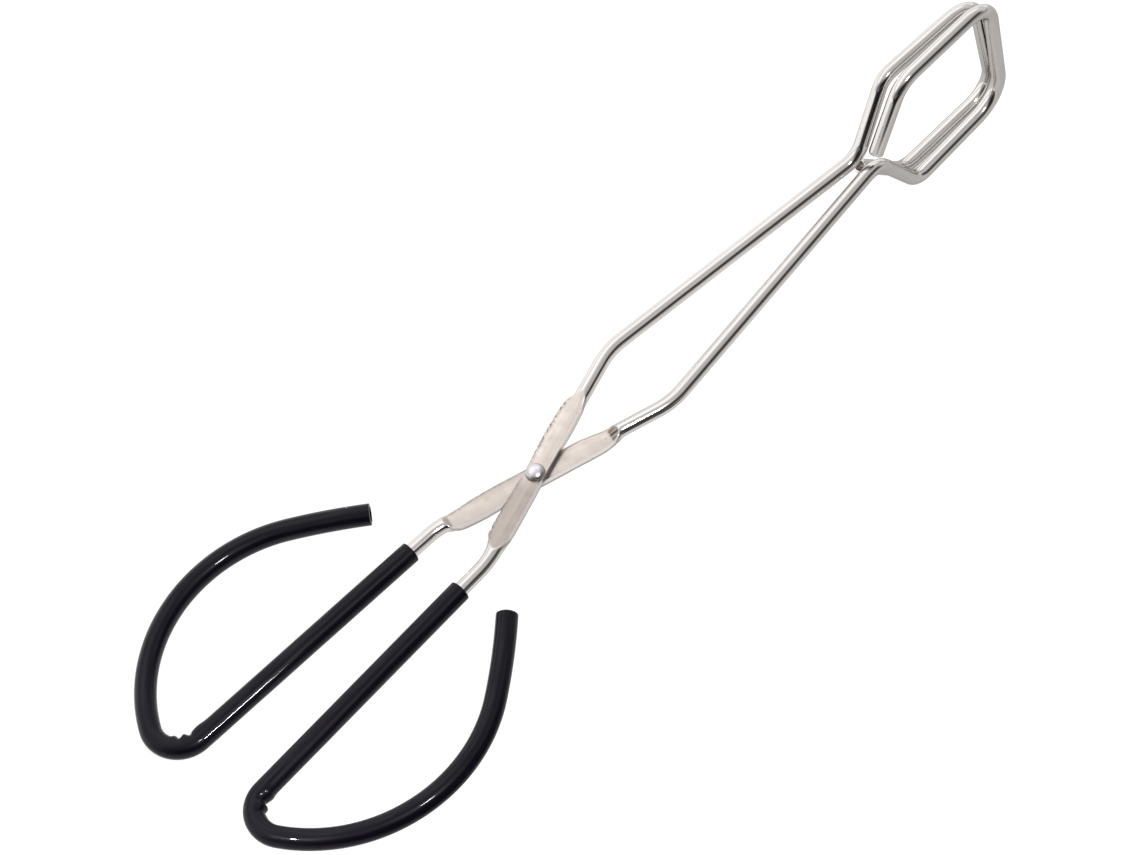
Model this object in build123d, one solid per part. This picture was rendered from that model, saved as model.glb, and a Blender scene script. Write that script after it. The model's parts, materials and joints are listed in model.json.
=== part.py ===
"""Barbecue tongs with a scissor action: two bent tube arms, a grip sleeve on each, and one rivet.

Each arm is a single tube. Its handle end is bent into an open D, its middle is pressed flat where
the rivet goes through, and its front end is bent into a five sided jaw loop. Both arms are bent
alike, and the lower arm lies turned over about the long axis. An arm is modelled flat on the
bench: X runs from the rivet towards the jaw, Z is the rivet's axis, the handle lies on the minus Y
side and the jaw on the plus Y side. The finished tongs are then tipped nose up, the way they lie
on a table, and moved so that the origin is under the middle of their bounding box.
"""

from build123d import *

import math
import os

# Tube and grip sleeve, in mm
tube_diameter = 5.5
tube_wall = 1.0
sleeve_wall = 1.2
sleeve_clearance = 0.05
sleeve_overhang = 1.2

# Flat blade pressed into each arm at the rivet
blade_width = 9.2
blade_length = 67.0
blade_angle = 17.4
blade_ramp = 5.5
blade_shoulder = 6.0
blade_shoulder_radius = 6.0
tube_offset = 0.8
blade_gap = 0.1

# Neck and handle, from the blade backwards
neck_radius = 36.0
neck_angle = 15.4
grip_run = 109.7
sleeve_start = 9.0
heel_radius = 10.8
heel_angle = 117.6
bow_radius = 61.0
bow_angle = 94.7
hook_radius = 250.0
upper_hook_run = 32.0
lower_hook_run = 28.4

# Shoulder and jaw loop, from the blade forwards
shoulder_reach = 55.0
shoulder_radius = 28.0
upper_foot_setback = 18.8
lower_foot_setback = 15.0
foot_aside = 3.0
foot_radius = 11.0
wide_reach = 186.7
wide_rise = 29.2
wide_aside = 4.0
wide_radius = 8.0
tip_run = 46.4
tip_rise = 28.0
tip_aside = 2.9
tip_bend_radius = 14.0
return_tip_lead = 1.5
return_tip_drop = 32.0
return_tip_radius = 12.0
return_wide_lead = 1.3
return_wide_drop = 34.1
return_wide_radius = 11.0
tail_lead = 0.3
tail_drop = 6.2

# Rivet
rivet_diameter = 4.0
rivet_running_clearance = 0.05
rivet_tight_clearance = 0.01
rivet_head_diameter = 7.2
rivet_head_height = 2.4
rivet_head_edge = 0.35
rivet_tail_diameter = 6.4
rivet_tail_height = 1.2
rivet_seat_clearance = 0.05

# How far a cutting tool runs past what it cuts, and the turn that lays an arm upside down
overrun = 1.0
half_turn_angle = 180.0

tube_radius = tube_diameter / 2
bore_radius = tube_radius - tube_wall
blade_thickness = 2 * tube_wall
blade_edge_share = 0.46
arm_lift = (blade_thickness + blade_gap) / 2
sleeve_bore_radius = tube_radius + sleeve_clearance
sleeve_radius = sleeve_bore_radius + sleeve_wall
blade_half = blade_length / 2
tip_reach = wide_reach + tip_run
return_wide_reach = wide_reach + return_wide_lead

along_blade = Vector(math.cos(math.radians(blade_angle)), math.sin(math.radians(blade_angle)))
across_blade = Vector(-along_blade.Y, along_blade.X)


def tube_axis_point(along: float) -> Vector:
    """A point of the tube's axis beside the blade, measured along the blade from the rivet."""
    return along_blade * along - across_blade * tube_offset


def swept_ring(path: Wire, outer: float, inner: float) -> Part:
    """A round tube along a path of straight runs and tangent arcs."""
    start = Plane(origin=path @ 0, z_dir=path % 0)
    return sweep(start * (Circle(outer) - Circle(inner)), path=path)


def handle_bends(hook_run: float) -> list[Edge]:
    """The handle's centre line from the blade's back end: neck, grip, heel, bow and hook."""
    neck = JernArc(tube_axis_point(-blade_half), -along_blade, neck_radius, -neck_angle)
    grip = Line(neck @ 1, neck @ 1 + (neck % 1) * grip_run)
    heel = JernArc(grip @ 1, grip % 1, heel_radius, heel_angle)
    bow = JernArc(heel @ 1, heel % 1, bow_radius, bow_angle)
    hook = JernArc(bow @ 1, bow % 1, hook_radius, math.degrees(hook_run / hook_radius))
    return [neck, grip, heel, bow, hook]


def jaw_path(foot_setback: float) -> Wire:
    """The front end's centre line: blade, shoulder, foot, once round the loop and the cut tail."""
    foot_reach = wide_reach - foot_setback
    points = [
        tube_axis_point(blade_half),
        tube_axis_point(shoulder_reach),
        (foot_reach, foot_aside, 0),
        (wide_reach, wide_aside, wide_rise),
        (tip_reach, tip_aside, tip_rise),
        (tip_reach + return_tip_lead, tip_aside, -return_tip_drop),
        (return_wide_reach, wide_aside, -return_wide_drop),
        (foot_reach + tail_lead, foot_aside, -tail_drop),
    ]
    radii = [
        shoulder_radius,
        foot_radius,
        wide_radius,
        tip_bend_radius,
        return_tip_radius,
        return_wide_radius,
    ]
    return FilletPolyline(*points, radius=radii)


def blade(hole_clearance: float) -> Part:
    """The pressed middle of an arm, along X: a flat plate with rounded edges and a ramp at each end."""
    inner_side = -tube_offset - tube_radius
    outer_side = -tube_offset + tube_radius
    full = blade_half - blade_shoulder
    outline = Polyline(
        (-blade_half, inner_side),
        (-full, -blade_width / 2),
        (full, -blade_width / 2),
        (blade_half, inner_side),
        (blade_half, outer_side),
        (full, blade_width / 2),
        (-full, blade_width / 2),
        (-blade_half, outer_side),
        close=True,
    )
    plan = make_face(outline)
    shoulders = [v for v in plan.vertices() if abs(v.X) < (full + blade_half) / 2]
    plan = fillet(shoulders, blade_shoulder_radius)
    plate = extrude(plan, blade_thickness / 2, both=True)
    end_edges = plate.faces().filter_by(Axis.X).edges()
    rims = [e for e in plate.faces().filter_by(Axis.Z).edges() if e not in end_edges]
    plate = fillet(rims, blade_thickness * blade_edge_share)
    for side in (-1, 1):
        plate += ramp(side)
    hole = Cylinder(rivet_diameter / 2 + hole_clearance, blade_thickness + 2 * overrun)
    return plate - hole


def ramp(side: int) -> Part:
    """The steep slope from the round tube down to the flat, at one end of the blade."""
    rod_length = blade_ramp
    middle = side * (blade_half - rod_length / 2)
    rod = Pos(middle, -tube_offset, 0) * Rot(Y=90) * Cylinder(tube_radius, rod_length)
    wedge_profile = Polyline(
        (side * blade_half, tube_radius),
        (side * (blade_half - blade_ramp), blade_thickness / 2),
        (side * (blade_half - blade_ramp), -blade_thickness / 2),
        (side * blade_half, -tube_radius),
        close=True,
    )
    wedge = extrude(Plane.XZ * make_face(wedge_profile), tube_diameter, both=True)
    return rod & wedge


def arm(hook_run: float, foot_setback: float, hole_clearance: float) -> Part:
    """One arm, flat on the bench with its tube's axis at height zero."""
    back = swept_ring(Wire(handle_bends(hook_run)), tube_radius, bore_radius)
    front = swept_ring(jaw_path(foot_setback), tube_radius, bore_radius)
    middle = Rot(Z=blade_angle) * blade(hole_clearance)
    return middle + back + front


def grip_sleeve(hook_run: float) -> Part:
    """The soft sleeve drawn over a handle, open at both ends and a little longer than the tube."""
    neck, grip, heel, bow, hook = handle_bends(hook_run)
    start = Line(grip @ 0 + (grip % 0) * sleeve_start, grip @ 1)
    end = Line(hook @ 1, hook @ 1 + (hook % 1) * sleeve_overhang)
    return swept_ring(Wire([start, heel, bow, hook, end]), sleeve_radius, sleeve_bore_radius)


def crown(radius: float, rim: float, top: float) -> Edge:
    """Half the round back of a rivet head, from its middle at one height out to its rim."""
    return TangentArc((0, top), (radius, rim), tangent=(1, 0))


def pivot_rivet() -> Part:
    """The rivet through both blades: a domed head on top and a smaller set head below."""
    seat = blade_gap / 2 + blade_thickness + rivet_seat_clearance
    shank_radius = rivet_diameter / 2
    head_radius = rivet_head_diameter / 2
    tail_radius = rivet_tail_diameter / 2
    head = crown(head_radius, seat + rivet_head_edge, seat + rivet_head_height)
    tail = crown(tail_radius, -seat - rivet_head_edge, -seat - rivet_tail_height)
    side = Polyline(
        tail @ 1,
        (tail_radius, -seat),
        (shank_radius, -seat),
        (shank_radius, seat),
        (head_radius, seat),
        head @ 1,
    )
    middle = Line(tail @ 0, head @ 0)
    section = Plane.XZ * make_face(head + tail + side + middle)
    return revolve(section, Axis.Z)


lift = Pos(0, 0, arm_lift)
turned_over = Rot(X=half_turn_angle)

bench = {
    "upper_arm": lift * arm(upper_hook_run, upper_foot_setback, rivet_running_clearance),
    "lower_arm": turned_over * lift * arm(lower_hook_run, lower_foot_setback, rivet_tight_clearance),
    "upper_grip_sleeve": lift * grip_sleeve(upper_hook_run),
    "lower_grip_sleeve": turned_over * lift * grip_sleeve(lower_hook_run),
    "pivot_rivet": pivot_rivet(),
}

# Tip the tongs nose up until the jaw loop's low corner and the lower grip are level
low_corner = return_wide_drop - arm_lift + tube_radius
low_grip = arm_lift + sleeve_radius
heel_reach = blade_half + neck_radius * math.radians(neck_angle) + grip_run + heel_radius
table_tilt = math.degrees(math.atan2(low_corner - low_grip, return_wide_reach + heel_reach))
tipped = Rot(Y=-table_tilt)

box = Compound(children=[tipped * solid for solid in bench.values()]).bounding_box()
to_origin = Pos(-(box.min.X + box.max.X) / 2, -(box.min.Y + box.max.Y) / 2, -box.min.Z)
in_frame = to_origin * tipped

os.makedirs("parts", exist_ok=True)
for node, solid in bench.items():
    export_step(in_frame * solid, f"parts/{node}.step")

rivet_place = Plane(in_frame)
print("table tilt", round(table_tilt, 3), "degrees")
print("rivet centre", [round(v, 4) for v in rivet_place.origin])
print("rivet axis", [round(v, 6) for v in rivet_place.z_dir])
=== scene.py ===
"""Looks of the barbecue tongs: two bent tube arms, their black grip sleeves and the rivet.

Every piece is one swept skin. A piece lists its stations, each with a centre, two directions
across and the sizes of its section, in millimetres on the bench, and one Geometry Nodes tree
sweeps the section along them. On the bench the origin is the rivet's middle, X runs along the
closed tongs to the jaws and Z is the rivet's axis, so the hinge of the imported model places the
bench in the row's frame.
"""

import json
import logging
import math
from collections.abc import Callable
from dataclasses import dataclass, field, fields
from enum import Enum
from typing import Union

import bmesh
import bpy
import numpy as np
from mathutils import Matrix, Vector

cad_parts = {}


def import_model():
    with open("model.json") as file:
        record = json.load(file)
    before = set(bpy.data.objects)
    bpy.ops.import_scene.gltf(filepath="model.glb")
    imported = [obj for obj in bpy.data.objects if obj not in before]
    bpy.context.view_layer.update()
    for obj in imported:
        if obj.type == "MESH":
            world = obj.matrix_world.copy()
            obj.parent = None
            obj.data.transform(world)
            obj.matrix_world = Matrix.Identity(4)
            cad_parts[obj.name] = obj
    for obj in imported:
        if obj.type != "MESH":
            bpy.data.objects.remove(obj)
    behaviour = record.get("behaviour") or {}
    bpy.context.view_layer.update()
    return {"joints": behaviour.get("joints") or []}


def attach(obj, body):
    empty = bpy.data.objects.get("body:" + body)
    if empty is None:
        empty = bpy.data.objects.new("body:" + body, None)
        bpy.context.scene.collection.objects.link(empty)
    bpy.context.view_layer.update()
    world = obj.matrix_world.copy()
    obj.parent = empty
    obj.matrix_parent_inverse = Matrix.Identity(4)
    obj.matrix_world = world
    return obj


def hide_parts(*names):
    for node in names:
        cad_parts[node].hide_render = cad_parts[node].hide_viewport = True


MM = 0.001
FULL_TURN = 2 * math.pi
WELD = 1e-7
SOFT_TAPS = 9
SOFT_TAPER = 0.8
FEWEST_IN_ARC = 4
log = logging.getLogger("tongs")

Socket = bpy.types.NodeSocket
Sockets = bpy.types.bpy_prop_collection
Value = Union[float, int, Socket]


class Graph:
    """Builds a node tree step by step; an input takes a number or another node's output."""

    def __init__(self, tree: bpy.types.NodeTree) -> None:
        """Starts on the tree that gets the nodes."""
        self.tree = tree

    def node(self, kind: str, inputs: dict | None = None, **settings: object) -> bpy.types.Node:
        """Adds a node.

        Args:
            kind: the node's type.
            inputs: values or outputs by input name or number.
            settings: the node's own properties.

        Returns:
            The node.
        """
        made = self.tree.nodes.new(kind)
        for name, value in settings.items():
            setattr(made, name, value)
        for key, value in (inputs or {}).items():
            self.feed(made.inputs[key], value)
        return made

    def feed(self, socket: Socket, value: object) -> None:
        """Links an output to a socket, or sets the socket's own value.

        Args:
            socket: the input.
            value: another node's output, or the value itself.
        """
        if isinstance(value, Socket):
            self.tree.links.new(value, socket)
        else:
            socket.default_value = value

    def maths(self, operation: str, *values: Value) -> Socket:
        """One maths node and its result."""
        inputs = dict(enumerate(values))
        return self.node("ShaderNodeMath", inputs, operation=operation).outputs[0]

    def times(self, one: Value, *others: Value) -> Socket:
        """The product of numbers, taken from left to right.

        Args:
            one: the first.
            others: the others.

        Returns:
            The product.
        """
        for other in others:
            one = self.maths("MULTIPLY", one, other)
        return one

    def plus(self, one: Value, other: Value) -> Socket:
        """The sum of two numbers."""
        return self.maths("ADD", one, other)

    def minus(self, one: Value, other: Value) -> Socket:
        """One number less another."""
        return self.maths("SUBTRACT", one, other)

    def over(self, one: Value, other: Value) -> Socket:
        """One number divided by another."""
        return self.maths("DIVIDE", one, other)

    def size(self, value: Value) -> Socket:
        """A number without its sign."""
        return self.maths("ABSOLUTE", value)

    def larger(self, one: Value, other: Value) -> Socket:
        """The larger of two numbers."""
        return self.maths("MAXIMUM", one, other)

    def scaled(self, vector: Socket, factor: Value) -> Socket:
        """A vector times a number."""
        made = self.node("ShaderNodeVectorMath", {0: vector, 3: factor}, operation="SCALE")
        return made.outputs[0]

    def added(self, one: Socket, other: Socket) -> Socket:
        """The sum of two vectors."""
        return self.node("ShaderNodeVectorMath", {0: one, 1: other}, operation="ADD").outputs[0]

    def mixed(self, share: Value, one: Value, other: Value) -> Socket:
        """One number blended into another."""
        made = self.node("ShaderNodeMix", {0: share, 2: one, 3: other}, data_type="FLOAT")
        return made.outputs[0]

    def blended(self, share: Value, one: object, other: object) -> Socket:
        """One colour blended into another.

        Args:
            share: how much of the other there is.
            one: a colour or an output.
            other: a colour or an output.

        Returns:
            The blended colour.
        """
        made = self.node("ShaderNodeMix", {0: share}, data_type="RGBA")
        ends = [socket for socket in made.inputs if socket.type == "RGBA"]
        self.feed(ends[0], one)
        self.feed(ends[1], other)
        return next(socket for socket in made.outputs if socket.type == "RGBA")

    def ranged(self, value: Value, low: float, high: Value, bottom: float = 0.0,
               top: float = 1.0, smooth: bool = False) -> Socket:
        """Moves a value from one range to another, and holds it there.

        Args:
            value: the value.
            low: what becomes the bottom.
            high: what becomes the top.
            bottom: the new range's start.
            top: the new range's end.
            smooth: whether the change eases in and out.

        Returns:
            The moved value.
        """
        ends = {"From Min": low, "From Max": high, "To Min": bottom, "To Max": top}
        made = self.node(
            "ShaderNodeMapRange",
            {"Value": value, **ends},
            interpolation_type="SMOOTHSTEP" if smooth else "LINEAR",
        )
        return made.outputs[0]

    def noise(self, place: Socket, scale: Value, detail: float, rough: float = 0.5) -> Socket:
        """Noise between 0 and 1.

        Args:
            place: where it is read.
            scale: how fine it is.
            detail: how many finer layers it has.
            rough: how strong the finer layers are.

        Returns:
            The noise.
        """
        sizes = {"Vector": place, "Scale": scale, "Detail": detail, "Roughness": rough}
        return self.node("ShaderNodeTexNoise", sizes).outputs[0]

    def attribute(self, name: str, output: str = "Fac") -> Socket:
        """A piece's own attribute, read in a material."""
        return self.node("ShaderNodeAttribute", attribute_name=name).outputs[output]

    def object_place(self) -> Socket:
        """The place on the object, in metres."""
        return self.node("ShaderNodeTexCoord").outputs["Object"]

    def bumped(self, strength: float, distance: float, height: Socket) -> Socket:
        """A surface's normal, tilted by a height.

        Args:
            strength: how much of the tilt is kept.
            distance: how high a height of 1 stands, in metres.
            height: the height.

        Returns:
            The normal.
        """
        inputs = {"Strength": strength, "Distance": distance, "Height": height}
        return self.node("ShaderNodeBump", inputs).outputs[0]

    def stored(self, geometry: Socket, name: str, value: Socket, kind: str = "FLOAT") -> Socket:
        """Keeps a value as an attribute of a geometry's points.

        Args:
            geometry: the geometry.
            name: the attribute's name.
            value: the value.
            kind: the attribute's type.

        Returns:
            The geometry with the attribute.
        """
        inputs = {"Geometry": geometry, "Name": name, "Value": value}
        kept = self.node(
            "GeometryNodeStoreNamedAttribute", inputs, data_type=kind, domain="POINT"
        )
        return kept.outputs[0]


@dataclass(frozen=True)
class Bench:
    """Where the bench lies in the row's frame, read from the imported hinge."""

    origin: Vector
    turn: Matrix

    @classmethod
    def from_joint(cls, joint: dict) -> "Bench":
        """The bench whose Z axis is the hinge.

        Args:
            joint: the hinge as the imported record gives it.

        Returns:
            The bench.
        """
        up = Vector(joint["axis"]).normalized()
        along = Vector((0, 1, 0)).cross(up).normalized()
        return cls(Vector(joint["pos_m"]), Matrix((along, up.cross(along), up)).transposed())

    def points(self, places: np.ndarray) -> np.ndarray:
        """Bench places in millimetres, as points of the row's frame in metres."""
        return places @ np.array(self.turn).T * MM + np.array(self.origin)

    def directions(self, vectors: np.ndarray) -> np.ndarray:
        """Bench directions, in the row's frame."""
        return vectors @ np.array(self.turn).T


def smooth_step(values: np.ndarray, low: float, high: float) -> np.ndarray:
    """A soft step from 0 at low to 1 at high."""
    share = np.clip((values - low) / (high - low), 0, 1)
    return share * share * (3 - 2 * share)


def bump(values: np.ndarray, middle: float, width: float) -> np.ndarray:
    """A bell of height 1 about the middle."""
    return np.exp(-(((values - middle) / width) ** 2))


def soft_line(values: np.ndarray, places: np.ndarray, heights: np.ndarray,
              soft: float) -> np.ndarray:
    """A line through given places whose corners are softened.

    Args:
        values: where the line is read.
        places: the given places, rising.
        heights: the line's height at each.
        soft: how far to each side a corner is softened.

    Returns:
        The line's height at each value.
    """
    spread = np.linspace(-1, 1, SOFT_TAPS)
    weights = 1 - np.abs(spread) * SOFT_TAPER
    lines = [np.interp(values + soft * k, places, heights) * w for k, w in zip(spread, weights)]
    return np.sum(lines, axis=0) / weights.sum()


def straight(start: np.ndarray, end: np.ndarray, step: float) -> list[np.ndarray]:
    """Evenly spaced points from start to end, both included."""
    count = max(1, round(float(np.linalg.norm(end - start)) / step))
    return [start + (end - start) * k / count for k in range(count + 1)]


def rounded_corners(corners: list, radii: list[float], step: float) -> np.ndarray:
    """Points along straight runs whose corners are arcs.

    Args:
        corners: the corner points, first and last included.
        radii: one radius for each corner between.
        step: the points' spacing.

    Returns:
        The points, one a row.
    """
    corners = [np.array(c, float) for c in corners]
    reached, line = corners[0], []
    for before, corner, after, radius in zip(corners, corners[1:], corners[2:], radii):
        back = (before - corner) / np.linalg.norm(before - corner)
        ahead = (after - corner) / np.linalg.norm(after - corner)
        half = math.acos(np.clip(back @ ahead, -1, 1)) / 2
        reach = radius / math.tan(half)
        away = (back + ahead) / np.linalg.norm(back + ahead)
        middle = corner + away * radius / math.sin(half)
        first, last = corner + back * reach, corner + ahead * reach
        sweep = math.pi - 2 * half
        count = max(FEWEST_IN_ARC, round(sweep * radius / step))
        line += straight(reached, first, step)[:-1]
        for k in range(count + 1):
            one, two = math.sin((1 - k / count) * sweep), math.sin(k / count * sweep)
            out = one * (first - middle) + two * (last - middle)
            line.append(middle + out / math.sin(sweep))
        reached = last
    line += straight(reached, corners[-1], step)[1:]
    return np.array(line)


class TubeBender:
    """Feeds and bends a flat centre line on the bench, as a tube bender does."""

    def __init__(self, start: np.ndarray, heading: float, step: float) -> None:
        """Sets the tube in the bender.

        Args:
            start: the first point.
            heading: the first direction, in degrees from X.
            step: the points' spacing.
        """
        self.points = [np.array(start, float)]
        self.heading = math.radians(heading)
        self.step = step

    def feed(self, length: float) -> None:
        """Adds a straight run.

        Args:
            length: the run's length.
        """
        count = max(1, round(length / self.step))
        start = self.points[-1]
        way = np.array((math.cos(self.heading), math.sin(self.heading), 0))
        self.points += [start + way * length * k / count for k in range(1, count + 1)]

    def bend(self, radius: float, degrees: float) -> None:
        """Adds an arc.

        Args:
            radius: the arc's radius.
            degrees: how far it turns, to the left where positive.
        """
        turn = math.radians(degrees)
        count = max(2, round(abs(turn) * radius / self.step))
        aside = math.copysign(radius, turn)
        left = np.array((-math.sin(self.heading), math.cos(self.heading), 0))
        centre = self.points[-1] + aside * left
        for k in range(1, count + 1):
            angle = self.heading + turn * k / count
            out = aside * np.array((math.sin(angle), -math.cos(angle), 0))
            self.points.append(centre + out)
        self.heading += turn


@dataclass
class Stations:
    """Where a section is swept: places and directions on the bench, and its sizes, in mm.

    Left, right, top and bottom are how far a pressed section reaches from the centre, and edge
    is how far in its rim is rounded. Pressed is 0 on round tube and 1 on the flat. The beads
    stand on the bright edge, crown is how far the faces fall away from the ridge, nick bites
    into the dull edge, fold swells the skin and the seam's groove sinks into it. The rest is
    finish, with painted shade on a blade's wall. Length is how far along the piece a station is.
    """

    centre: np.ndarray
    side: np.ndarray
    up: np.ndarray
    radius: np.ndarray
    left: np.ndarray = None
    right: np.ndarray = None
    top: np.ndarray = None
    bottom: np.ndarray = None
    edge: np.ndarray = None
    pressed: np.ndarray = None
    bead: np.ndarray = None
    under_bead: np.ndarray = None
    crown: np.ndarray = None
    ridge: np.ndarray = None
    fall: np.ndarray = None
    dull_side: np.ndarray = None
    tarnish: np.ndarray = None
    grime: np.ndarray = None
    wall_grime: np.ndarray = None
    ragged: np.ndarray = None
    seam_place: np.ndarray = None
    seam_depth: np.ndarray = None
    fold: np.ndarray = None
    nick: np.ndarray = None
    length: np.ndarray = None

    DIRECTIONS = ("side", "up")

    def __post_init__(self) -> None:
        """Gives a plain round section to whatever isn't set."""
        blank = {name: np.zeros(len(self.centre)) for name in self.numbers()}
        blank.update(self.round_section(self.radius))
        for name in self.numbers():
            if getattr(self, name) is None:
                setattr(self, name, np.array(blank[name], float))

    @classmethod
    def numbers(cls) -> list[str]:
        """The names of what has one number a station."""
        return [f.name for f in fields(cls) if f.name not in ("centre", *cls.DIRECTIONS)]

    @staticmethod
    def round_section(radius: np.ndarray) -> dict[str, np.ndarray]:
        """What a plain round section has for its four sides and its edge."""
        sides = {"left": radius, "right": radius, "top": radius * 2, "bottom": radius * 2}
        return {**sides, "edge": radius * 0 + 1}

    def rounded(self, radius: np.ndarray) -> None:
        """Makes every section round again.

        Args:
            radius: the new radii.
        """
        self.radius = radius
        for name, values in self.round_section(radius).items():
            setattr(self, name, values.copy())

    @classmethod
    def along(cls, points: np.ndarray, radius: float) -> "Stations":
        """Stations along a line that sets out flat, whose directions turn as little as they can.

        Args:
            points: the centre line.
            radius: the round section's radius.

        Returns:
            The stations.
        """
        tangents = np.gradient(points, axis=0)
        tangents /= np.linalg.norm(tangents, axis=1)[:, None]
        ups = np.zeros_like(points)
        up = np.array((0, 0, 1), float)
        for k, tangent in enumerate(tangents):
            up = up - tangent * (up @ tangent)
            up /= np.linalg.norm(up)
            ups[k] = up
        steps = np.linalg.norm(np.diff(points, axis=0), axis=1)
        made = cls(points, np.cross(ups, tangents), ups, np.full(len(points), radius))
        made.length = np.concatenate(([0], np.cumsum(steps)))
        return made

    @classmethod
    def upright(cls, heights: np.ndarray, radii: np.ndarray) -> "Stations":
        """Round stations up the rivet's axis.

        Args:
            heights: how high over the bench each is.
            radii: the radius of each.

        Returns:
            The stations.
        """
        count = len(heights)
        sides, ups = np.tile((1.0, 0, 0), (count, 1)), np.tile((0, 1.0, 0), (count, 1))
        return cls(np.outer(heights, (0, 0, 1)), sides, ups, radii)

    def picked(self, order: np.ndarray) -> "Stations":
        """The same stations in another order, some of them repeated."""
        return Stations(*(np.array(getattr(self, f.name))[order] for f in fields(self)))

    @staticmethod
    def joined(parts: list["Stations"]) -> "Stations":
        """Several lists of stations, one after the other."""
        names = [f.name for f in fields(Stations)]
        return Stations(*(np.concatenate([getattr(p, name) for p in parts]) for name in names))

    def lip(self, index: int, way: int, rim: float, bore: float, bends: tuple,
            depths: tuple = ()) -> "Stations":
        """Stations for an open end: up out of the bore, over the rim and onto the skin.

        Args:
            index: the end's station.
            way: 1 at the line's start, -1 at its end.
            rim: the radius that the end's two edges are rounded with.
            bore: the bore's radius.
            bends: where round those edges there are stations, in degrees.
            depths: how deep in the bore there are more.

        Returns:
            The end's stations in the line's order.
        """
        skin = float(self.radius[index])
        turns = [(math.sin(math.radians(a)), math.cos(math.radians(a))) for a in bends]
        rows = [(depth, bore) for depth in depths]
        rows += [(rim * (1 - sine), bore + rim * (1 - cosine)) for sine, cosine in turns]
        rows += [(rim * (1 - cosine), skin - rim * (1 - sine)) for sine, cosine in turns]
        end = self.picked(np.full(len(rows), index))
        inward = np.cross(self.side[index], self.up[index]) * way
        end.centre = self.centre[index] + np.outer([depth for depth, _ in rows], inward)
        end.rounded(np.array([radius for _, radius in rows]))
        end.seam_depth, end.fold = end.seam_depth * 0, end.fold * 0
        return end if way > 0 else end.picked(np.arange(len(rows))[::-1])

    def opened(self, *lip: object) -> "Stations":
        """The same stations with an open end at each end.

        Args:
            lip: the rim, the bore and the places of their stations, as for a lip.

        Returns:
            The stations.
        """
        last = len(self.centre) - 1
        between = self.picked(np.arange(1, last))
        return Stations.joined([self.lip(0, 1, *lip), between, self.lip(last, -1, *lip)])


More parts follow.
